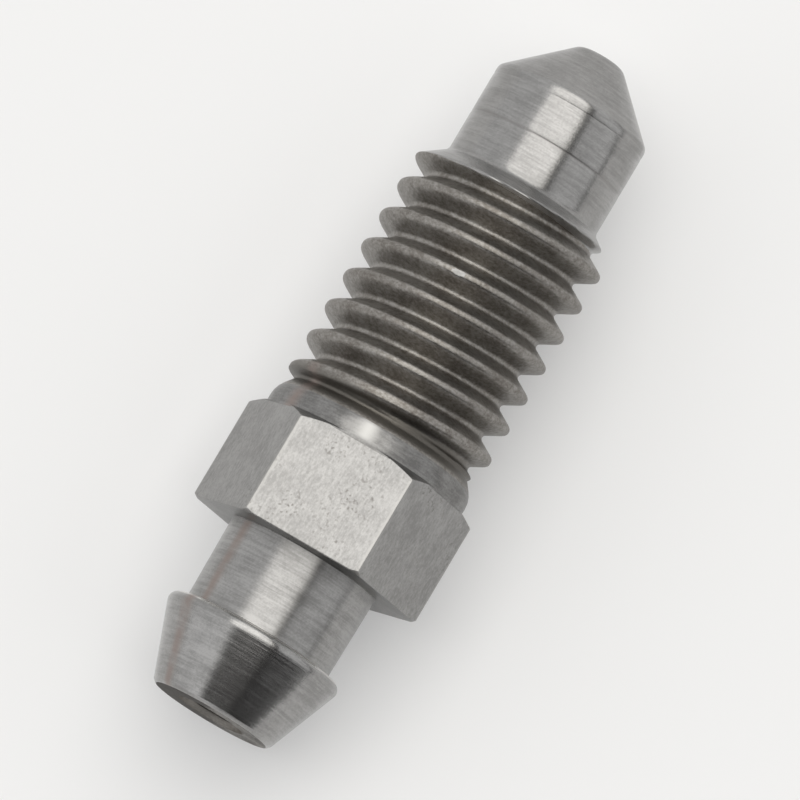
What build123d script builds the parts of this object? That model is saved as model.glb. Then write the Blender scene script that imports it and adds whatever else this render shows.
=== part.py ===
from build123d import *

import os
from math import atan, cos, degrees, radians, sin, sqrt, tan

# Bleeder screw, turned from one hexagon bar. It lies on one flat of its hexagon, with its
# axis along X: hose nipple at the -X end, seat cone at the +X end. The origin is below the
# middle of its length, on the surface that it lies on. All sizes are in millimetres, and a
# length runs along the screw.

# Hose nipple and neck
nipple_end_dia = 4.75
nipple_end_break = 0.12
barb_half_angle = 20.8
barb_length = 3.1
barb_edge_round = 0.3
shoulder_slope = 0.08
neck_dia = 5.66
neck_growth = 0.1
neck_length = 3.19

# Hexagon
across_flats = 7.8
hex_length = 4.1
hex_chamfer_angle = 30
bearing_face_dia = 8.56
crease_dia = 7.7

# Collar, and the V groove that relieves the end of the thread
collar_dia = 7.98
collar_lip = 0.1
collar_width = 0.51
collar_edge_round = 0.5
relief_dia = 6.95
relief_cone_length = 0.62
relief_wall_length = 0.22

# Thread, right-handed
thread_dia = 7.8
thread_pitch = 1.25
thread_length = 8.78
thread_half_angle = 30
crest_flat = thread_pitch / 8
root_flat = 0.22
groove_angle = 150
lead_in_length = 0.68

# Run-out, where the thread groove rises out of the metal beside the relief groove
run_out_from_relief = 0.495
run_out_turns = 0.6
run_out_pitch = 0.98
run_out_rise = 0.85

# Pilot, seat cone and tip
pilot_dia = 5.98
pilot_length = 3.51
pilot_edge_round = 0.3
seat_half_angle = 46
tip_dia = 1.72
tip_round = 0.5

# Bleed passage: a blind bore from the hose end, and a cross hole in one wall of the pilot,
# turned by its angle away from straight down
bore_dia = 2.2
bore_mouth_chamfer = 0.2
drill_point_angle = 118
cross_hole_dia = 1.5
cross_hole_from_seat = 1.9
cross_hole_angle = 30
bore_past_cross_hole = 0.35

# Room by which a cutter stands clear of the metal that it leaves
clearance = 0.3

# Stations along the screw, measured from the hose end
shoulder = barb_length + shoulder_slope
bearing_face = shoulder + neck_length
crease = bearing_face + hex_length
collar_start = crease + collar_lip
collar_end = collar_start + collar_width
relief = collar_end + relief_cone_length
thread_start = relief + relief_wall_length
thread_end = thread_start + thread_length
pilot_start = thread_end + lead_in_length
seat = pilot_start + pilot_length
tip = seat + (pilot_dia - tip_dia) / 2 / tan(radians(seat_half_angle))

# The lathe's plane: local X runs along the screw from the hose end, local Y is the radius
hose_end = -tip / 2
axis_height = across_flats / 2
lathe = Plane(origin=(hose_end, 0, axis_height), x_dir=(1, 0, 0), z_dir=(0, -1, 0))
screw_axis = Axis((hose_end, 0, axis_height), (1, 0, 0))

# Corners of the turned outline: station, radius, rounding
barb_cone_length = barb_length - nipple_end_break
barb_corner = nipple_end_dia / 2 + barb_cone_length * tan(radians(barb_half_angle))
clear_of_hexagon = across_flats / sqrt(3) + clearance
chamfer_slope = tan(radians(hex_chamfer_angle))
front_chamfer = bearing_face + (clear_of_hexagon - bearing_face_dia / 2) * chamfer_slope
back_chamfer = crease - (clear_of_hexagon - crease_dia / 2) * chamfer_slope
outline_corners = [
    (0, 0, 0),
    (0, nipple_end_dia / 2 - nipple_end_break, 0),
    (nipple_end_break, nipple_end_dia / 2, 0),
    (barb_length, barb_corner, barb_edge_round),
    (shoulder, neck_dia / 2, 0),
    (bearing_face, (neck_dia + neck_growth) / 2, 0),
    (bearing_face, bearing_face_dia / 2, 0),
    (front_chamfer, clear_of_hexagon, 0),
    (back_chamfer, clear_of_hexagon, 0),
    (crease, crease_dia / 2, 0),
    (collar_start, collar_dia / 2, 0),
    (collar_end, collar_dia / 2, collar_edge_round),
    (relief, relief_dia / 2, 0),
    (thread_start, thread_dia / 2, 0),
    (thread_end, thread_dia / 2, 0),
    (pilot_start, pilot_dia / 2, 0),
    (seat, pilot_dia / 2, pilot_edge_round),
    (tip, tip_dia / 2, tip_round),
    (tip, 0, 0),
]

# Thread groove, around the X axis and measured from the hose end. Its full stretch and its
# run-out start from the same section, and run opposite ways.
groove_start = relief + run_out_from_relief
groove_end = pilot_start + thread_pitch / 2
flank_width = (thread_pitch - crest_flat - root_flat) / 2
thread_depth = flank_width / tan(radians(thread_half_angle))
root_dia = thread_dia - 2 * thread_depth

# The cutter's flanks run on past the crests, and meet half a crest short of the next turn
cutter_half_width = (thread_pitch - crest_flat / 2) / 2
cutter_overrun = crest_flat / 4 / tan(radians(thread_half_angle))


def groove_section(radius_direction):
    """The groove cutter's section at its start, with its radius along the given direction."""
    plane = Plane((groove_start, 0, 0), x_dir=(1, 0, 0), z_dir=(0, -radius_direction, 0))
    with BuildSketch(plane) as section:
        with BuildLine():
            Polyline(
                (-cutter_half_width, thread_dia / 2 + cutter_overrun),
                (-root_flat / 2, root_dia / 2),
                (root_flat / 2, root_dia / 2),
                (cutter_half_width, thread_dia / 2 + cutter_overrun),
                close=True,
            )
        make_face()
    return section.sketch


with BuildPart() as full_groove:
    with BuildLine() as full_path:
        Helix(
            pitch=thread_pitch,
            height=groove_end - groove_start,
            radius=thread_dia / 2,
            center=(groove_start, 0, 0),
            direction=(1, 0, 0),
        )
    sweep(groove_section(1), path=full_path.line, is_frenet=True)

# A conical helix counts its pitch along the cone
run_out_cone = atan(run_out_rise / run_out_pitch)
with BuildPart() as run_out_groove:
    with BuildLine() as run_out_path:
        Helix(
            pitch=run_out_pitch / cos(run_out_cone),
            height=run_out_pitch * run_out_turns,
            radius=thread_dia / 2,
            center=(groove_start, 0, 0),
            direction=(-1, 0, 0),
            cone_angle=degrees(run_out_cone),
        )
    sweep(groove_section(-1), path=run_out_path.line, is_frenet=True)

# The drills
bore_end = seat - cross_hole_from_seat + cross_hole_dia / 2 + bore_past_cross_hole
drill_point = bore_dia / 2 / tan(radians(drill_point_angle / 2))
cross_drill = Plane(
    (hose_end + seat - cross_hole_from_seat, 0, axis_height),
    x_dir=(1, 0, 0),
    z_dir=(0, sin(radians(cross_hole_angle)), -cos(radians(cross_hole_angle))),
)

with BuildPart() as bleeder_screw:
    # Hexagon bar, lying on one flat
    with BuildSketch(Plane(screw_axis.position, x_dir=(0, 1, 0), z_dir=(1, 0, 0))):
        RegularPolygon(across_flats / 2, side_count=6, major_radius=False)
    extrude(amount=tip)

    # Turned outline
    with BuildSketch(lathe):
        with BuildLine():
            FilletPolyline(
                [(station, radius) for station, radius, rounding in outline_corners],
                radius=[rounding for station, radius, rounding in outline_corners],
                close=True,
            )
        make_face()
    revolve(axis=screw_axis, mode=Mode.INTERSECT)

    # Thread, with its run-out cut first
    with Locations((hose_end, 0, axis_height)):
        add(run_out_groove.part, rotation=(groove_angle + 180, 0, 0), mode=Mode.SUBTRACT)
        add(full_groove.part, rotation=(groove_angle, 0, 0), mode=Mode.SUBTRACT)

    # Bore, with its chamfered mouth and the cone that the drill's point leaves
    with BuildSketch(lathe):
        with BuildLine():
            Polyline(
                (0, 0),
                (0, bore_dia / 2 + bore_mouth_chamfer),
                (bore_mouth_chamfer, bore_dia / 2),
                (bore_end, bore_dia / 2),
                (bore_end + drill_point, 0),
                close=True,
            )
        make_face()
    revolve(axis=screw_axis, mode=Mode.SUBTRACT)

    # Cross hole, from the axis out through the wall of the pilot
    with Locations(cross_drill):
        Cylinder(
            cross_hole_dia / 2,
            pilot_dia / 2 + clearance,
            align=(Align.CENTER, Align.CENTER, Align.MIN),
            mode=Mode.SUBTRACT,
        )

bleeder_screw.part.label = "bleeder_screw"
os.makedirs("parts", exist_ok=True)
export_step(bleeder_screw.part, "parts/bleeder_screw.step")
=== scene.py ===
import math

import bmesh
import bpy
from mathutils import Matrix, Vector


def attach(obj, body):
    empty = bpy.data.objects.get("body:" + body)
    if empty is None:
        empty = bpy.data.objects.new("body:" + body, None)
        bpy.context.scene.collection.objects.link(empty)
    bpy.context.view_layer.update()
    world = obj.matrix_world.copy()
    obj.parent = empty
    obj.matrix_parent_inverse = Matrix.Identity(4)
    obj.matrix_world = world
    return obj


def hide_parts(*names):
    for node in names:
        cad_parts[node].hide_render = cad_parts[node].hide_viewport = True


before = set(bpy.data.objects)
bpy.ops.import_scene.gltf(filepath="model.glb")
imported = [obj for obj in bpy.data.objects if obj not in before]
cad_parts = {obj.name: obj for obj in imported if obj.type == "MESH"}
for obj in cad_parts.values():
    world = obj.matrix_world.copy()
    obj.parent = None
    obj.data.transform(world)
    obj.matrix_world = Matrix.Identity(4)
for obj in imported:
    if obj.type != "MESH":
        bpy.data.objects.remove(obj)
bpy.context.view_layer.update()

MM = 0.001

# Sizes of the screw in millimetres, the same as the solid's. A station runs along the screw
# from its hose end.
nipple_end_radius = 2.375
nipple_end_break = 0.12
barb_half_angle = math.radians(20.8)
barb_length = 3.1
shoulder = 3.18
neck_radius = 2.83
neck_end_radius = 2.88
bearing_face = 6.37
hex_chamfer_angle = math.radians(30)
crease = 10.47
collar_end = 11.08
relief = 11.7
relief_radius = 3.475
thread_start = 11.92
thread_end = 20.7
thread_radius = 3.9
thread_pitch = 1.25
thread_half_angle = math.radians(30)
groove_start = 12.195
groove_start_angle = math.radians(-120)
run_out_turns = 0.6
run_out_pitch = 0.98
run_out_rise = 0.85
pilot_start = 21.38
pilot_radius = 2.99
seat = 24.89
seat_half_angle = math.radians(46)
tip_radius = 0.86
tip = seat + (pilot_radius - tip_radius) / math.tan(seat_half_angle)
bore_radius = 1.1
bore_mouth_chamfer = 0.2
bore_end = 24.09
drill_half_angle = math.radians(59)
drill_point = bore_radius / math.tan(drill_half_angle)
cross_hole_station = 22.99
cross_hole_radius = 0.75
cross_hole_angle = math.radians(30)
axis_height = 3.9
hose_end = -tip / 2

# Sizes that stand a little off the solid's, because they follow the real screw's looks. The
# flats are a hair lower than the solid's, so that the screw stays inside the solid's box.
hex_apothem = 3.8995
bearing_face_radius = 4.33
crease_radius = 4.05
collar_start = 10.52
collar_radius = 3.95
root_radius = 3.19

# Roundings and blends, most of which the solid leaves out
end_face_round = 0.08
end_break_round = 0.12
barb_edge_round = 0.3
neck_fillet = 0.03
bearing_fillet = 0.03
hex_edge_round = 0.05
collar_lip_round = 0.05
collar_edge_round = 0.9
collar_blend = 0.08
relief_fillet = 0.1
thread_rim_round = 0.06
rim_blend = 0.02
root_round = 0.165
crest_blend = 0.15
lead_in_round = 0.16
pilot_foot_round = 0.3
pilot_edge_round = 0.3
tip_round = 0.5

# Marks: faint turning rings on the pilot, and a small nick in one crest. The nick reaches
# along and around the screw.
pilot_ring_stations = (23.01, 24.55)
pilot_ring_depth = 0.019
pilot_ring_half_width = 0.065
nick_station = 17.27
nick_angle = math.radians(88.5)
nick_reach = (0.09, 0.2)
nick_depth = 0.04
bright_nick_depth = nick_depth / 6

# Clusters of pits on the top flat: station, place across, reach
pit_clusters = ((8.7, -1.0, 1.2), (7.3, 1.05, 0.8), (6.75, -1.1, 0.6), (9.9, 0.6, 0.7))

# Mesh: its steps, columns and rows. The extra columns beside each corner of the hexagon are in
# degrees. The corners are the sharper, the higher corner_sharpness is. Points that are nearer
# than same_point are one point.
arc_step = math.radians(13)
fewest_arc_steps = 3
even_columns = 288
hex_corner_columns = (-1.9, -0.75, 0.75, 1.9)
flat_margin = 0.12
straight_row_step = 0.036
corner_sharpness = 200
same_point = 0.0005
face_edge_steps = 2
flat_edge_steps = 4
sharp_angle = math.radians(32)

# Evenly spaced rows go round the run-out, from run_out_reach to straight_until, and round the
# lead-in, from straight_again to lead_in_done. Between them the rows follow the helix, and one
# that comes nearer than the snap to either stretch ends there.
run_out_reach = 11.25
straight_until = 12.42
straight_again = thread_end - 0.15
lead_in_done = pilot_start + 0.12
helix_snap = 0.012

# Rows in half a turn of thread, from the middle of the groove over its flank to the crest. The
# shares are those of the root, the flank and the crest, and crest_edge is the distance of two
# more rows from the edge of the crest.
root_shares = (0, 0.36, 0.7, 1)
flank_shares = (0.4, 0.78)
crest_half = 0.12
crest_edge = 0.022
crest_share = 0.6


# Outline

def round_corners(corners):
    """The outline's points, with each corner that has a radius made an arc."""
    points = []
    for index, (station, radius, rounding) in enumerate(corners):
        corner = Vector((station, radius))
        if not rounding:
            points.append(corner)
            continue
        back = (Vector(corners[index - 1][:2]) - corner).normalized()
        ahead = (Vector(corners[index + 1][:2]) - corner).normalized()
        turn = math.pi - back.angle(ahead)
        reach = rounding * math.tan(turn / 2)
        centre = corner + (back + ahead).normalized() * rounding / math.cos(turn / 2)
        steps = max(fewest_arc_steps, math.ceil(turn / arc_step))
        start = corner + back * reach - centre
        across = ahead - back
        side = 1 if start.x * across.y - start.y * across.x > 0 else -1
        for step in range(steps + 1):
            angle = side * turn * step / steps
            spoke = Vector((
                start.x * math.cos(angle) - start.y * math.sin(angle),
                start.x * math.sin(angle) + start.y * math.cos(angle),
            ))
            points.append(centre + spoke)
    return points


def smooth_min(a, b, blend):
    """The smaller of two values, with the step between them blended."""
    overlap = max(blend - abs(a - b), 0) / blend
    return min(a, b) - overlap * overlap * blend / 4


def outline_radius(points, station):
    """The outline's radius at a station, where it doesn't fold back."""
    for before, after in zip(points, points[1:]):
        if before.x <= station <= after.x and after.x > before.x:
            share = (station - before.x) / (after.x - before.x)
            return before.y + (after.y - before.y) * share
    return points[-1].y


barb_corner = nipple_end_radius + (barb_length - nipple_end_break) * math.tan(barb_half_angle)
bore_outline = [
    Vector((bore_end + drill_point, 0)),
    Vector((bore_end, bore_radius)),
    Vector((bore_mouth_chamfer, bore_radius)),
]
nose_outline = round_corners([
    (0, bore_radius + bore_mouth_chamfer, 0),
    (0, nipple_end_radius - nipple_end_break, end_face_round),
    (nipple_end_break, nipple_end_radius, end_break_round),
    (barb_length, barb_corner, barb_edge_round),
    (shoulder, neck_radius, neck_fillet),
    (bearing_face, neck_end_radius, bearing_fillet),
    (bearing_face, neck_end_radius + 2 * bearing_fillet, 0),
])
pilot_ring_outline = (
    (-pilot_ring_half_width, 0),
    (0, pilot_ring_depth),
    (pilot_ring_half_width, 0),
)
pilot_rings = [
    (ring + offset, pilot_radius - depth, 0)
    for ring in pilot_ring_stations
    for offset, depth in pilot_ring_outline
]
collar_outline = round_corners([
    (crease, crease_radius, 0),
    (collar_start, collar_radius, collar_lip_round),
    (collar_end, collar_radius, collar_edge_round),
    (relief, relief_radius, relief_fillet),
    (thread_start, thread_radius, thread_rim_round),
    (thread_end, thread_radius, lead_in_round),
    (pilot_start, pilot_radius, pilot_foot_round),
    *pilot_rings,
    (seat, pilot_radius, pilot_edge_round),
    (tip, tip_radius, tip_round),
    (tip, 0, 0),
])


# Hexagon

def side_radius(angle):
    """The hexagon's radius in a direction, with its corners slightly rounded."""
    total = 0
    for side in range(6):
        facing = math.cos(angle - math.radians(90 + 60 * side))
        if facing > 0:
            total += (facing / hex_apothem) ** corner_sharpness
    return total ** (-1 / corner_sharpness)


def edge_points(station, radius, first, last, steps):
    """An arc over a rounded edge of the hexagon, from one facing to another."""
    points = []
    for step in range(steps + 1):
        facing = first + (last - first) * step / steps
        points.append(Vector((
            station + hex_edge_round * math.cos(facing),
            radius + hex_edge_round * math.sin(facing),
        )))
    return points


def hexagon_points(side):
    """Points over the hexagon in a direction where its side stands at the radius side, in three
    lists: round the edge of the bearing face, on over the chamfer and the flat, and the last
    point, where the collar's material begins."""
    slope = math.tan(hex_chamfer_angle)
    inset = hex_edge_round / math.cos(hex_chamfer_angle)
    front_station = bearing_face + hex_edge_round
    front_radius = bearing_face_radius + (front_station - bearing_face - inset) / slope
    top_radius = side - hex_edge_round
    front_top = bearing_face + inset + (top_radius - bearing_face_radius) * slope
    back_top = crease - max(inset + (top_radius - crease_radius) * slope, hex_edge_round)
    if front_top < front_station:
        front_top = front_station
        front_radius = top_radius
    outward = math.pi / 2
    front_chamfer_facing = math.pi - hex_chamfer_angle
    # A flat that lies below the crease runs on over the collar, with no edge to round
    rounded = min(max((side - crease_radius) / hex_edge_round, 0), 1)
    back_facing = outward - (front_chamfer_facing - outward) * rounded
    bearing_edge = edge_points(
        front_station, front_radius, math.pi, front_chamfer_facing, face_edge_steps,
    )
    front_edge = edge_points(front_top, top_radius, front_chamfer_facing, outward, flat_edge_steps)
    back_edge = edge_points(back_top, top_radius, outward, back_facing, flat_edge_steps)
    # A narrow margin at both ends of the flat keeps its shading even
    margins = [Vector((front_top + flat_margin, side)), Vector((back_top - flat_margin, side))]
    return bearing_edge, front_edge + margins + back_edge[:-1], back_edge[-1:]


# Thread

def groove_radius(station, angle):
    """The radius of the thread groove's surface, or of its run-out, at a place."""
    lowest = 2 * thread_radius
    tangent = root_round * math.cos(thread_half_angle)
    start_turn = (angle - groove_start_angle) / (2 * math.pi) % 1
    nearest = round((station - groove_start) / thread_pitch - start_turn)
    for turn in (nearest - 1, nearest, nearest + 1):
        turns = turn + start_turn
        if turns >= 0:
            centre = groove_start + thread_pitch * turns
            rise = 0
        elif turns > -run_out_turns:
            centre = groove_start + run_out_pitch * turns
            rise = -run_out_rise * turns
        else:
            continue
        away = abs(station - centre)
        if away < tangent:
            height = root_round - math.sqrt(root_round ** 2 - away ** 2)
        else:
            height = (away / math.tan(thread_half_angle)) - root_round
        lowest = min(lowest, root_radius + rise + height)
    return lowest


def nick(station, angle):
    """The depth of the small nick in one crest, at a place."""
    along = (station - nick_station) / nick_reach[0]
    around = (angle - nick_angle) * thread_radius / nick_reach[1]
    return nick_depth * math.exp(-along ** 2 - around ** 2)


def threaded_radius(station, angle):
    """The radius of the screw's outside between the collar and the pilot, at a place."""
    outside = smooth_min(outline_radius(collar_outline, station), side_radius(angle), rim_blend)
    return smooth_min(outside, groove_radius(station, angle), crest_blend) - nick(station, angle)


# Mesh of the whole screw: rows of points round the axis, from the bottom of the bore, out of
# its mouth and along the outside to the tip
column_angles = [math.radians(360 * n / even_columns) for n in range(even_columns)]
for corner in range(6):
    for offset in hex_corner_columns:
        column_angles.append(math.radians((60 * corner + offset) % 360))
column_angles.sort()

straight_rows = math.ceil((straight_until - run_out_reach) / straight_row_step)
lead_in_rows = math.ceil((lead_in_done - straight_again) / straight_row_step)
groove_half = thread_pitch / 2 - crest_half
root_half = root_round * math.cos(thread_half_angle)
half_turn_rows = [
    *(root_half * share for share in root_shares),
    *(root_half + (groove_half - root_half) * share for share in flank_shares),
    groove_half - crest_edge,
    groove_half,
    groove_half + crest_edge,
    groove_half + crest_half * crest_share,
]
turn_rows = half_turn_rows + [thread_pitch / 2] + [thread_pitch - x for x in half_turn_rows[:0:-1]]

# The materials' numbers
TURNED, HEXAGON, THREAD, DRILLED, COLLAR, FACED, NIPPLE, END = range(8)


class Skin:
    """Collects the screw's points and faces, each face with its material's number. Points in the
    nick are bright."""

    def __init__(self):
        self.points = []
        self.faces = []
        self.materials = []
        self.bright = set()

    def point(self, station, radius, angle):
        """Adds a point and returns its number."""
        self.points.append((
            (hose_end + station) * MM,
            radius * math.cos(angle) * MM,
            (axis_height + radius * math.sin(angle)) * MM,
        ))
        return len(self.points) - 1

    def face(self, corners, material):
        """Adds a face, where its corners haven't fallen together."""
        kept = [c for n, c in enumerate(corners) if c != corners[n - 1]]
        if len(set(kept)) == len(kept) and len(kept) > 2:
            self.faces.append(kept)
            self.materials.append(material)


def straight_stretch(skin, columns):
    """Adds rows at the same places in every column. A column is a list of stretches, each with
    its points and its material. Returns the first and the last row."""
    numbers = []
    materials = []
    pole = None
    for angle, stretches in zip(column_angles, columns):
        column = []
        last = None
        for station, radius in (point for points, material in stretches for point in points):
            if radius < same_point:
                if pole is None:
                    pole = skin.point(station, 0, 0)
                column.append(pole)
                last = None
                continue
            here = Vector((station, radius))
            if last is not None and (here - last).length < same_point:
                column.append(column[-1])
                continue
            column.append(skin.point(station, radius, angle))
            last = here
        numbers.append(column)
        materials.append([material for points, material in stretches for point in points])
    for column, (this, following) in enumerate(zip(numbers, numbers[1:] + numbers[:1])):
        for row in range(len(this) - 1):
            corners = [this[row], following[row], following[row + 1], this[row + 1]]
            skin.face(corners, materials[column][row])
    return [column[0] for column in numbers], [column[-1] for column in numbers]


def helical_stretch(skin, first_ring, last_ring):
    """Joins two rings by rows that follow the thread, cut off at the rings."""
    spare_turns = 2
    per_turn = len(turn_rows)
    turns_before = math.floor((straight_until - groove_start) / thread_pitch) - spare_turns
    turns_after = math.ceil((straight_again - groove_start) / thread_pitch) + spare_turns
    count = len(column_angles)
    made = {}

    def number(row, column):
        if column == count:
            return number(row + per_turn, 0)
        if (row, column) in made:
            return made[row, column]
        angle = column_angles[column]
        turn, step = divmod(row, per_turn)
        phase = (angle - groove_start_angle) / (2 * math.pi) + turn
        station = groove_start + thread_pitch * phase + turn_rows[step]
        if station < straight_until + helix_snap:
            found = first_ring[column]
        elif station > straight_again - helix_snap:
            found = last_ring[column]
        else:
            found = skin.point(station, threaded_radius(station, angle), angle)
            if nick(station, angle) > bright_nick_depth:
                skin.bright.add(found)
        made[row, column] = found
        return found

    for column in range(count):
        for row in range(turns_before * per_turn, turns_after * per_turn):
            corners = [
                number(row, column), number(row, column + 1),
                number(row + 1, column + 1), number(row + 1, column),
            ]
            # The nick is as bright as the hexagon
            skin.face(corners, HEXAGON if corners[0] in skin.bright else THREAD)


def threaded_points(angle, first, last, rows):
    """Evenly spaced points in a column, from one station to another."""
    stations = [first + (last - first) * row / rows for row in range(rows + 1)]
    return [(station, threaded_radius(station, angle)) for station in stations]


def screw_mesh():
    """The screw's surface, without its cross hole."""
    skin = Skin()
    collar_part = [p for p in collar_outline if p.x < run_out_reach]
    pilot_part = [p for p in collar_outline if p.x > lead_in_done]
    end_face, nipple_part = nose_outline[:1], nose_outline[1:]
    faced_from = next(row for row, p in enumerate(nipple_part) if p.x > bearing_face - bearing_fillet)
    front, back = [], []
    for angle in column_angles:
        side = side_radius(angle)
        bearing_edge, flat, collar_edge = hexagon_points(side)
        collar = [(p.x, smooth_min(p.y, side, collar_blend)) for p in collar_part]
        front.append([
            (bore_outline, DRILLED),
            (end_face, END),
            (nipple_part[:faced_from], NIPPLE),
            (nipple_part[faced_from:] + bearing_edge, FACED),
            (flat, HEXAGON),
            (collar_edge + collar, COLLAR),
            (threaded_points(angle, run_out_reach, straight_until, straight_rows), THREAD),
        ])
        lead_in = threaded_points(angle, straight_again, lead_in_done, lead_in_rows)
        back.append([
            ([point for point in lead_in if point[0] <= thread_end], THREAD),
            ([point for point in lead_in if point[0] > thread_end] + pilot_part, TURNED),
        ])
    first_ring = straight_stretch(skin, front)[1]
    last_ring = straight_stretch(skin, back)[0]
    helical_stretch(skin, first_ring, last_ring)
    mesh = bpy.data.meshes.new("bleeder_screw_surface")
    mesh.from_pydata(skin.points, [], skin.faces)
    mesh.polygons.foreach_set("material_index", skin.materials)
    mesh.update()
    return mesh


def cross_hole_cutter():
    """A rod from the axis out through the pilot's wall."""
    clearance = 0.5
    reach = pilot_radius + clearance
    shape = bmesh.new()
    bmesh.ops.create_cone(
        shape, cap_ends=True, segments=64, radius1=cross_hole_radius * MM,
        radius2=cross_hole_radius * MM, depth=reach * MM,
    )
    outward = Vector((0, math.sin(cross_hole_angle), -math.cos(cross_hole_angle)))
    turn = outward.to_track_quat("Z", "X").to_matrix().to_4x4()
    centre = Vector(((hose_end + cross_hole_station) * MM, 0, axis_height * MM))
    place = Matrix.Translation(centre + outward * reach / 2 * MM)
    bmesh.ops.transform(shape, matrix=place @ turn, verts=shape.verts)
    mesh = bpy.data.meshes.new("cross_hole_cutter")
    shape.to_mesh(mesh)
    shape.free()
    return bpy.data.objects.new("cross_hole_cutter", mesh)


# Materials

class Nodes:
    """Short ways to add shader nodes."""

    def __init__(self, tree):
        self.tree = tree

    def add(self, kind, **settings):
        node = self.tree.nodes.new(kind)
        for key, value in settings.items():
            setattr(node, key, value)
        return node

    def join(self, output, socket):
        self.tree.links.new(output, socket)

    def feed(self, value, socket):
        """Sets a socket to a number, or joins it to another node's output."""
        if isinstance(value, (int, float)):
            socket.default_value = value
        else:
            self.join(value, socket)

    def math(self, operation, *values):
        node = self.add("ShaderNodeMath", operation=operation)
        for socket, value in zip(node.inputs, values):
            self.feed(value, socket)
        return node.outputs[0]

    def product(self, first, second):
        return self.math("MULTIPLY", first, second)

    def step(self, value, low, high):
        """A smooth step from 0 to 1, as the value goes from low to high."""
        node = self.add("ShaderNodeMapRange", interpolation_type="SMOOTHSTEP")
        node.inputs["From Min"].default_value = low
        node.inputs["From Max"].default_value = high
        self.join(value, node.inputs["Value"])
        return node.outputs["Result"]

    def blend(self, factor, first, second):
        """The first value, turning to the second."""
        node = self.add("ShaderNodeMix", data_type="FLOAT")
        self.join(factor, node.inputs["Factor"])
        self.feed(first, node.inputs["A"])
        self.feed(second, node.inputs["B"])
        return node.outputs["Result"]

    def mix(self, factor, first, second):
        """The first colour, turning to the second, which is fixed."""
        node = self.add("ShaderNodeMix", data_type="RGBA")
        sockets = {socket.identifier: socket for socket in node.inputs}
        self.join(factor, sockets["Factor_Float"])
        self.join(first, sockets["A_Color"])
        sockets["B_Color"].default_value = (*second, 1)
        return next(socket for socket in node.outputs if socket.identifier == "Result_Color")

    def ramp(self, value, stops):
        """The colour between two stops, each with its position and colour."""
        node = self.add("ShaderNodeValToRGB")
        for element, (position, colour) in zip(node.color_ramp.elements, stops):
            element.position = position
            element.color = (*colour, 1)
        self.join(value, node.inputs["Fac"])
        return node.outputs["Color"]


class Surface(Nodes):
    """A material with its nodes, and the places on the screw that they can ask for."""

    def __init__(self, name):
        self.material = bpy.data.materials.new(name)
        self.material.use_nodes = True
        super().__init__(self.material.node_tree)
        self.shader = self.tree.nodes["Principled BSDF"]

    def paint(self, colour):
        self.join(colour, self.shader.inputs["Base Color"])

    def noise(self, per_mm, stretch=(1, 1, 1), detail=2, roughness=0.5):
        """Noise in the screw's own frame, with its features to the millimetre."""
        place = self.add("ShaderNodeTexCoord").outputs["Object"]
        mapping = self.add("ShaderNodeMapping")
        mapping.inputs["Location"].default_value = (0, 0, -axis_height * stretch[2] * per_mm)
        mapping.inputs["Scale"].default_value = [per_mm * s / MM for s in stretch]
        self.join(place, mapping.inputs["Vector"])
        texture = self.add("ShaderNodeTexNoise")
        texture.inputs["Scale"].default_value = 1
        texture.inputs["Detail"].default_value = detail
        texture.inputs["Roughness"].default_value = roughness
        self.join(mapping.outputs["Vector"], texture.inputs["Vector"])
        return texture.outputs["Fac"]

    def bump(self, height, depth, normal=None):
        """The surface's direction with bumps on it, as deep as the depth in millimetres."""
        node = self.add("ShaderNodeBump")
        node.inputs["Distance"].default_value = depth * MM
        self.join(height, node.inputs["Height"])
        if normal is not None:
            self.join(normal, node.inputs["Normal"])
        return node.outputs["Normal"]

    def roughen(self, height, depth):
        """Gives the surface bumps, as deep as the depth in millimetres."""
        self.join(self.bump(height, depth), self.shader.inputs["Normal"])

    def place(self):
        """The three coordinates in the screw's own frame, in metres."""
        place = self.add("ShaderNodeSeparateXYZ")
        self.join(self.add("ShaderNodeTexCoord").outputs["Object"], place.inputs[0])
        return place.outputs

    def station(self):
        """The distance along the screw from its hose end, in millimetres."""
        return self.math("SUBTRACT", self.math("DIVIDE", self.place()["X"], MM), hose_end)

    def from_axis(self):
        """The distances across and up from the screw's axis, in millimetres."""
        place = self.place()
        across = self.math("DIVIDE", place["Y"], MM)
        up = self.math("SUBTRACT", self.math("DIVIDE", place["Z"], MM), axis_height)
        return across, up

    def distance(self, offsets):
        """The distance that two offsets, square to each other, make together."""
        squares = [self.product(offset, offset) for offset in offsets]
        return self.math("SQRT", self.math("ADD", *squares))

    def radius(self):
        """The distance from the screw's axis, in millimetres."""
        return self.distance(self.from_axis())

    def near(self, station, across, reach):
        """1 at a place on the top flat of the screw, falling to 0 at a distance from it."""
        full_share = 0.3
        top_heights = (3.6, 3.8)
        beside, up = self.from_axis()
        offsets = [self.math("SUBTRACT", self.station(), station), self.math("SUBTRACT", beside, across)]
        close = self.step(self.distance(offsets), reach, full_share * reach)
        return self.product(close, self.step(up, *top_heights))


def steel(name, dark, light, roughness, lay):
    """Satin steel, mottled between two colours by streaks that follow its lay."""
    streak_share, grain_share, broad_share = 0.5, 0.2, 0.3
    dark_below, light_above = 0.4, 0.6
    nodes = Surface(name)
    streaks = nodes.noise(9, stretch=lay, detail=3, roughness=0.7)
    grain = nodes.noise(12, detail=1)
    broad = nodes.noise(1.2)
    mottle = nodes.math("ADD", nodes.product(streaks, streak_share), nodes.product(grain, grain_share))
    mottle = nodes.math("ADD", mottle, nodes.product(broad, broad_share))
    nodes.colour = nodes.ramp(mottle, [(dark_below, dark), (light_above, light)])
    nodes.paint(nodes.colour)
    nodes.shader.inputs["Metallic"].default_value = 1
    nodes.shader.inputs["Roughness"].default_value = roughness
    return nodes


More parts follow.
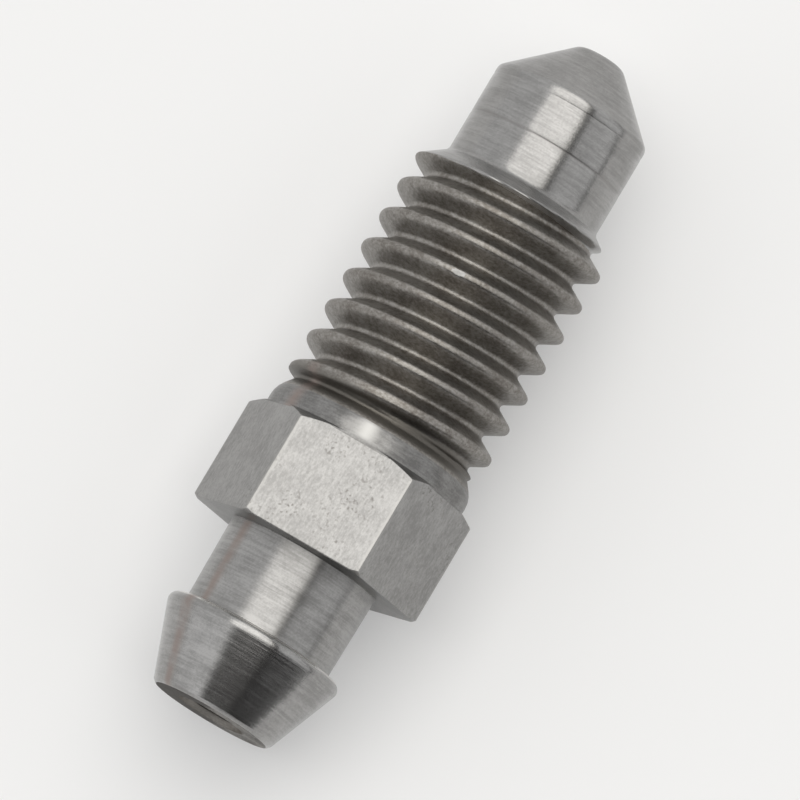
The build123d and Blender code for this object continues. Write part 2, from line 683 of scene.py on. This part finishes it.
def brown_streaked(nodes):
    """The steel's colour with a faint brown streak at a fixed angle round its left side, up to the first
    threads.
    """
    first_edge, middle, last_edge = math.radians(40), math.radians(48), math.radians(56)
    fades_over = 1.5
    patch_limits = (0.2, 0.55)
    strength = 0.8
    brown = (0.27, 0.222, 0.203)
    across, up = nodes.from_axis()
    angle = nodes.math("ARCTAN2", across, up)
    streak = nodes.product(nodes.step(angle, first_edge, middle), nodes.step(angle, last_edge, middle))
    patches = nodes.step(nodes.noise(1.5, detail=3), *patch_limits)
    before_thread = nodes.step(nodes.station(), thread_start + fades_over, collar_end)
    streak = nodes.product(nodes.product(streak, before_thread), nodes.product(patches, strength))
    return nodes.mix(streak, nodes.colour, brown)


def turned_surface(name, dark, light, roughness, ring_depth):
    """Turned steel, with fine rings that stretch its highlights round the screw."""
    grain_depth = 0.0015
    nodes = steel(name, dark, light, roughness, lay=(1, 0.07, 0.07))
    nodes.shader.inputs["Anisotropic"].default_value = 0.75
    nodes.shader.inputs["Anisotropic Rotation"].default_value = 0.25
    around = nodes.add("ShaderNodeTangent", direction_type="RADIAL", axis="X")
    nodes.join(around.outputs["Tangent"], nodes.shader.inputs["Tangent"])
    rings = nodes.noise(6, stretch=(1, 0.03, 0.03), detail=3, roughness=0.65)
    grain = nodes.noise(14, detail=1)
    normal = nodes.bump(grain, grain_depth, normal=nodes.bump(rings, ring_depth))
    nodes.join(normal, nodes.shader.inputs["Normal"])
    return nodes


def turned_steel():
    """The pilot and its cones, with shade painted as a dark line in the groove of the first of the
    pilot's rings.
    """
    ring_shade_half_width = 0.09
    ring_shade_strength = 0.5
    ring_shade_colour = (0.2, 0.19, 0.185)
    nodes = turned_surface(
        "turned_steel", dark=(0.25, 0.247, 0.242), light=(0.345, 0.341, 0.335),
        roughness=0.27, ring_depth=0.0075,
    )
    # Painted shade: a dark line in the groove of the first ring
    ring = pilot_ring_stations[0]
    past_ring = nodes.step(nodes.station(), ring - ring_shade_half_width, ring)
    before_ring = nodes.step(nodes.station(), ring + ring_shade_half_width, ring)
    line = nodes.product(nodes.product(past_ring, before_ring), ring_shade_strength)
    nodes.paint(nodes.mix(line, nodes.colour, ring_shade_colour))
    return nodes.material


def nipple_steel():
    """The hose nipple and its neck, which is rougher, with a highlight painted along the barb's edge."""
    barb_roughness = 0.25
    neck_roughening = 0.09
    neck_from, neck_full = shoulder - 0.2, shoulder + 0.1
    edge_stations = (barb_length - 0.08, barb_length - 0.03)
    edge_radii = (3.05, 3.12)
    painted_highlight = (0.7, 0.69, 0.67)
    nodes = turned_surface(
        "nipple_steel", dark=(0.245, 0.242, 0.237), light=(0.36, 0.356, 0.35),
        roughness=barb_roughness, ring_depth=0.012,
    )
    on_neck = nodes.step(nodes.station(), neck_from, neck_full)
    roughness = nodes.math("ADD", barb_roughness, nodes.product(on_neck, neck_roughening))
    nodes.join(roughness, nodes.shader.inputs["Roughness"])
    # A painted highlight: the barb's edge is given a light colour all round
    highlight_on_edge = nodes.product(
        nodes.step(nodes.station(), *edge_stations), nodes.step(nodes.radius(), *edge_radii),
    )
    nodes.colour = nodes.mix(highlight_on_edge, nodes.colour, painted_highlight)
    nodes.paint(brown_streaked(nodes))
    return nodes.material


def collar_steel():
    """Turned steel, with a highlight painted on its top where the top flat of the hexagon runs over it.
    """
    highlight_half_width = 0.6
    highlight_heights = (3.3, 3.7)
    highlight_stations = (crease, collar_start + 0.2)
    bright = (0.42, 0.416, 0.405)
    nodes = steel(
        "collar_steel", dark=(0.155, 0.153, 0.149), light=(0.254, 0.251, 0.246),
        roughness=0.38, lay=(1, 0.15, 0.15),
    )
    # A painted highlight on the collar's top, where the top flat runs over it
    across, up = nodes.from_axis()
    beside = nodes.math("ABSOLUTE", across)
    highlight_mask = nodes.product(nodes.step(beside, highlight_half_width, 0), nodes.step(up, *highlight_heights))
    on_collar = nodes.step(nodes.station(), *highlight_stations)
    nodes.colour = nodes.mix(nodes.product(highlight_mask, on_collar), nodes.colour, bright)
    nodes.paint(brown_streaked(nodes))
    nodes.roughen(nodes.noise(6, stretch=(1, 0.3, 0.3), detail=3, roughness=0.6), depth=0.01)
    return nodes.material


def faced_steel():
    """The bearing face of the hexagon."""
    nodes = steel(
        "faced_steel", dark=(0.15, 0.147, 0.142), light=(0.24, 0.236, 0.23),
        roughness=0.35, lay=(0.3, 1, 1),
    )
    nodes.roughen(nodes.noise(8, detail=3, roughness=0.6), depth=0.006)
    return nodes.material


def end_steel():
    """The dull end face round the mouth of the bore, with shade painted on its left side."""
    patch_reach = 2
    shade_from, shade_full = 0.6, 1.3
    shade_strength = 0.85
    painted_shade = (0.05, 0.047, 0.044)
    nodes = steel(
        "end_steel", dark=(0.1, 0.096, 0.09), light=(0.4, 0.392, 0.378), roughness=0.42, lay=(1, 1, 1),
    )
    nodes.shader.inputs["Specular Tint"].default_value = (0.55, 0.54, 0.53, 1)
    # Painted shade: the end face is darker towards its left side
    across = nodes.from_axis()[0]
    patches = nodes.math("ADD", across, nodes.product(nodes.noise(1.5, detail=3), patch_reach))
    shade_mask = nodes.product(nodes.step(patches, shade_from, shade_full), shade_strength)
    nodes.paint(nodes.mix(shade_mask, nodes.colour, painted_shade))
    nodes.roughen(nodes.noise(5, detail=3, roughness=0.6), depth=0.01)
    return nodes.material


def hexagon_steel():
    """Drawn bar with clusters of small dark pits, and edges that handling has made bright with wear."""
    scattered_limits = (0.5, 0.7)
    scattered_strength = 0.7
    pit_limits = (0.54, 0.76)
    worn_radii = (4.43, 4.5)
    bright = (0.37, 0.366, 0.355)
    pit_colour = (0.15, 0.143, 0.136)
    nodes = steel(
        "hexagon_steel", dark=(0.235, 0.232, 0.227), light=(0.33, 0.326, 0.32),
        roughness=0.3, lay=(0.4, 1, 1),
    )
    scattered = nodes.step(nodes.noise(0.6, detail=1), *scattered_limits)
    clusters = nodes.product(scattered, scattered_strength)
    for station, across, reach in pit_clusters:
        clusters = nodes.math("MAXIMUM", clusters, nodes.near(station, across, reach))
    pits = nodes.product(nodes.step(nodes.noise(7.5, detail=1), *pit_limits), clusters)
    colour = nodes.mix(nodes.step(nodes.radius(), *worn_radii), nodes.colour, bright)
    nodes.paint(nodes.mix(pits, colour, pit_colour))
    nodes.roughen(nodes.noise(6, stretch=(0.6, 1, 1), detail=3, roughness=0.6), depth=0.0045)
    return nodes.material


def thread_steel():
    """Rougher steel, with shade painted in the relief groove beside the collar."""
    shade_from, shade_full = relief - 0.45, relief - 0.25
    clean_from, clean_below = groove_start + 0.1, relief + 0.1
    painted_shade = (0.12, 0.112, 0.1)
    nodes = steel(
        "thread_steel", dark=(0.168, 0.154, 0.138), light=(0.318, 0.306, 0.288),
        roughness=0.43, lay=(1, 0.6, 0.6),
    )
    # Painted shade in the relief groove beside the collar, fading out before the thread
    beside_collar = nodes.step(nodes.station(), shade_from, shade_full)
    before_thread = nodes.step(nodes.station(), clean_from, clean_below)
    nodes.colour = nodes.mix(nodes.product(beside_collar, before_thread), nodes.colour, painted_shade)
    nodes.paint(brown_streaked(nodes))
    nodes.roughen(nodes.noise(9, detail=3, roughness=0.7), depth=0.011)
    return nodes.material


def drilled_steel():
    """The bore and the cross hole."""
    nodes = steel(
        "drilled_steel", dark=(0.13, 0.122, 0.112), light=(0.23, 0.22, 0.205),
        roughness=0.4, lay=(1, 0.1, 0.1),
    )
    nodes.shader.inputs["Specular Tint"].default_value = (0.5, 0.48, 0.46, 1)
    nodes.roughen(nodes.noise(6, stretch=(1, 0.1, 0.1)), depth=0.006)
    return nodes.material


# The screw

def drill_cross_hole(screw):
    """Cuts the cross hole, and gives its wall the cutter's material."""
    cutter = cross_hole_cutter()
    bpy.context.scene.collection.objects.link(cutter)
    cutter.data.materials.append(screw.data.materials[DRILLED])
    drill = screw.modifiers.new("cross_hole", "BOOLEAN")
    drill.operation = "DIFFERENCE"
    drill.solver = "MANIFOLD"
    drill.object = cutter
    drill.material_mode = "TRANSFER"
    depsgraph = bpy.context.evaluated_depsgraph_get()
    drilled = bpy.data.meshes.new_from_object(screw.evaluated_get(depsgraph))
    screw.modifiers.remove(drill)
    screw.data = drilled
    bpy.data.objects.remove(cutter)


def smooth(screw):
    """Shades the screw smooth between its sharp edges."""
    screw.data.shade_smooth()
    screw.data.set_sharp_from_angle(angle=sharp_angle)
    shading = screw.modifiers.new("shading", "WEIGHTED_NORMAL")
    shading.weight = 100
    shading.keep_sharp = True


def bleeder_screw():
    """The dressed screw, in the place of the solid."""
    makers = {
        TURNED: turned_steel, HEXAGON: hexagon_steel, THREAD: thread_steel, DRILLED: drilled_steel,
        COLLAR: collar_steel, FACED: faced_steel, NIPPLE: nipple_steel, END: end_steel,
    }
    mesh = screw_mesh()
    for number, make in sorted(makers.items()):
        mesh.materials.append(make())
    screw = bpy.data.objects.new("bleeder_screw_surface", mesh)
    bpy.context.scene.collection.objects.link(screw)
    drill_cross_hole(screw)
    smooth(screw)
    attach(screw, "root")
    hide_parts("bleeder_screw")


# Floor, lights and camera

def floor():
    """A pale floor, four metres to each side."""
    half = 4
    grey = 0.79
    white_share = 0.25
    corners = [(-half, -half, 0), (half, -half, 0), (half, half, 0), (-half, half, 0)]
    mesh = bpy.data.meshes.new("floor")
    mesh.from_pydata(corners, [], [(0, 1, 2, 3)])
    nodes = Surface("floor")
    nodes.shader.inputs["Base Color"].default_value = (grey, grey, grey, 1)
    nodes.shader.inputs["Roughness"].default_value = 0.9
    nodes.shader.inputs["Specular IOR Level"].default_value = 0.1
    # A share of plain white, for the picture and for what the metal mirrors
    rays = nodes.add("ShaderNodeLightPath").outputs
    seen = nodes.math("ADD", rays["Is Camera Ray"], rays["Is Glossy Ray"])
    seen = nodes.math("ADD", seen, rays["Is Transmission Ray"])
    white = nodes.add("ShaderNodeEmission")
    blend = nodes.add("ShaderNodeMixShader")
    nodes.join(nodes.product(seen, white_share), blend.inputs["Fac"])
    nodes.join(nodes.shader.outputs["BSDF"], blend.inputs[1])
    nodes.join(white.outputs["Emission"], blend.inputs[2])
    nodes.join(blend.outputs["Shader"], nodes.tree.nodes["Material Output"].inputs["Surface"])
    mesh.materials.append(nodes.material)
    plane = bpy.data.objects.new("floor", mesh)
    bpy.context.scene.collection.objects.link(plane)


def camera():
    """A camera at the photograph's angle: the hose end tilts towards it, and the top flat faces
    slightly to its left. The screw's middle stands at its place in the picture, in pixels."""
    tilt = math.radians(7.5)
    roll = math.radians(5.8)
    picture_turn = math.radians(59.22)
    focal_pixels = 15000
    pixels_per_mm = 28.6
    picture_size = 800
    sensor_width = 36
    middle_in_picture = (406.9, 385.8)
    back = Vector((
        -math.sin(tilt), -math.cos(tilt) * math.sin(roll), math.cos(tilt) * math.cos(roll)
    ))
    along = (Vector((1, 0, 0)) - back * back.x).normalized()
    across = along.cross(back)
    right = along * math.cos(picture_turn) + across * math.sin(picture_turn)
    up = along * math.sin(picture_turn) - across * math.cos(picture_turn)
    to_right = (middle_in_picture[0] - picture_size / 2) / pixels_per_mm
    to_top = (picture_size / 2 - middle_in_picture[1]) / pixels_per_mm
    middle = Vector((0, 0, axis_height))
    data = bpy.data.cameras.new("camera")
    data.sensor_width = sensor_width
    data.lens = focal_pixels * sensor_width / picture_size
    data.clip_start = 0.01
    data.clip_end = 100
    view = bpy.data.objects.new("camera", data)
    bpy.context.scene.collection.objects.link(view)
    place = (middle + back * focal_pixels / pixels_per_mm - right * to_right - up * to_top) * MM
    view.matrix_world = Matrix.Translation(place) @ Matrix((right, up, back)).transposed().to_4x4()
    bpy.context.scene.camera = view


def soft_box():
    """One large soft box overhead. Seen from the screw, its four sides stand at the angles below
    from straight up."""
    height = 0.6
    left, right = math.tan(math.radians(31)), math.tan(math.radians(27))
    hose_side, tip_side = math.tan(math.radians(16)), math.tan(math.radians(60))
    radiance = 1.34
    warm_white = (1, 0.975, 0.925)
    data = bpy.data.lights.new("soft_box", "AREA")
    data.shape = "RECTANGLE"
    data.size = height * (hose_side + tip_side)
    data.size_y = height * (left + right)
    data.energy = radiance * math.pi * data.size * data.size_y
    data.color = warm_white
    box = bpy.data.objects.new("soft_box", data)
    bpy.context.scene.collection.objects.link(box)
    box.location = (height * (tip_side - hose_side) / 2, height * (left - right) / 2, height)


def room():
    """A room of even grey, with a dark part towards the hose end. A pair of directions says
    where a part of the room begins and where it is full."""
    left_wall, left_hose_wall = 0.92, 1.1
    right_wall, right_hose_wall = 0.95, 0.6
    dark_room = 0.01
    dark_frame = 0.03
    left_side = (-0.3, 0.3)
    hose_side = (-0.2, -0.4)
    dark_nearest_tip, dark_farthest_from_tip = (-0.26, -0.38), (-0.94, -0.8)
    dark_left_end = (0.5, 0.3)
    dark_lower_edge = (-0.02, 0.03)
    gap_side = (-0.5, -0.7)
    gap_top, gap_bottom = (0.075, 0.06), (-0.02, 0)
    frame_right_edge, frame_left_edge = (-0.76, -0.66), (-0.4, -0.48)
    frame_bottom = (0, 0.1)

    world = bpy.data.worlds.new("room")
    bpy.context.scene.world = world
    world.use_nodes = True
    nodes = Nodes(world.node_tree)
    where = nodes.add("ShaderNodeTexCoord").outputs["Generated"]
    parts = nodes.add("ShaderNodeSeparateXYZ")
    nodes.join(where, parts.inputs[0])
    towards_tip, towards_left, upwards = parts.outputs
    towards_hose = nodes.step(towards_tip, *hose_side)
    walls = nodes.blend(
        nodes.step(towards_left, *left_side),
        nodes.blend(towards_hose, right_wall, right_hose_wall),
        nodes.blend(towards_hose, left_wall, left_hose_wall),
    )
    dark = nodes.product(
        nodes.product(
            nodes.step(towards_tip, *dark_nearest_tip), nodes.step(towards_tip, *dark_farthest_from_tip),
        ),
        nodes.product(nodes.step(towards_left, *dark_left_end), nodes.step(upwards, *dark_lower_edge)),
    )
    # The dark line between the right wall and the floor
    gap = nodes.product(
        nodes.step(towards_left, *gap_side),
        nodes.product(nodes.step(upwards, *gap_top), nodes.step(upwards, *gap_bottom)),
    )
    # The dark frame along the right side of the soft box
    slant = nodes.math("DIVIDE", towards_left, upwards)
    frame_band = nodes.product(
        nodes.product(nodes.step(slant, *frame_right_edge), nodes.step(slant, *frame_left_edge)),
        nodes.step(upwards, *frame_bottom),
    )
    light = nodes.blend(dark, walls, dark_room)
    light = nodes.blend(frame_band, light, dark_frame)
    light = nodes.blend(gap, light, dark_frame)
    nodes.join(light, nodes.tree.nodes["Background"].inputs["Color"])


bleeder_screw()
floor()
camera()
soft_box()
room()
bpy.context.scene.view_settings.view_transform = "Standard"
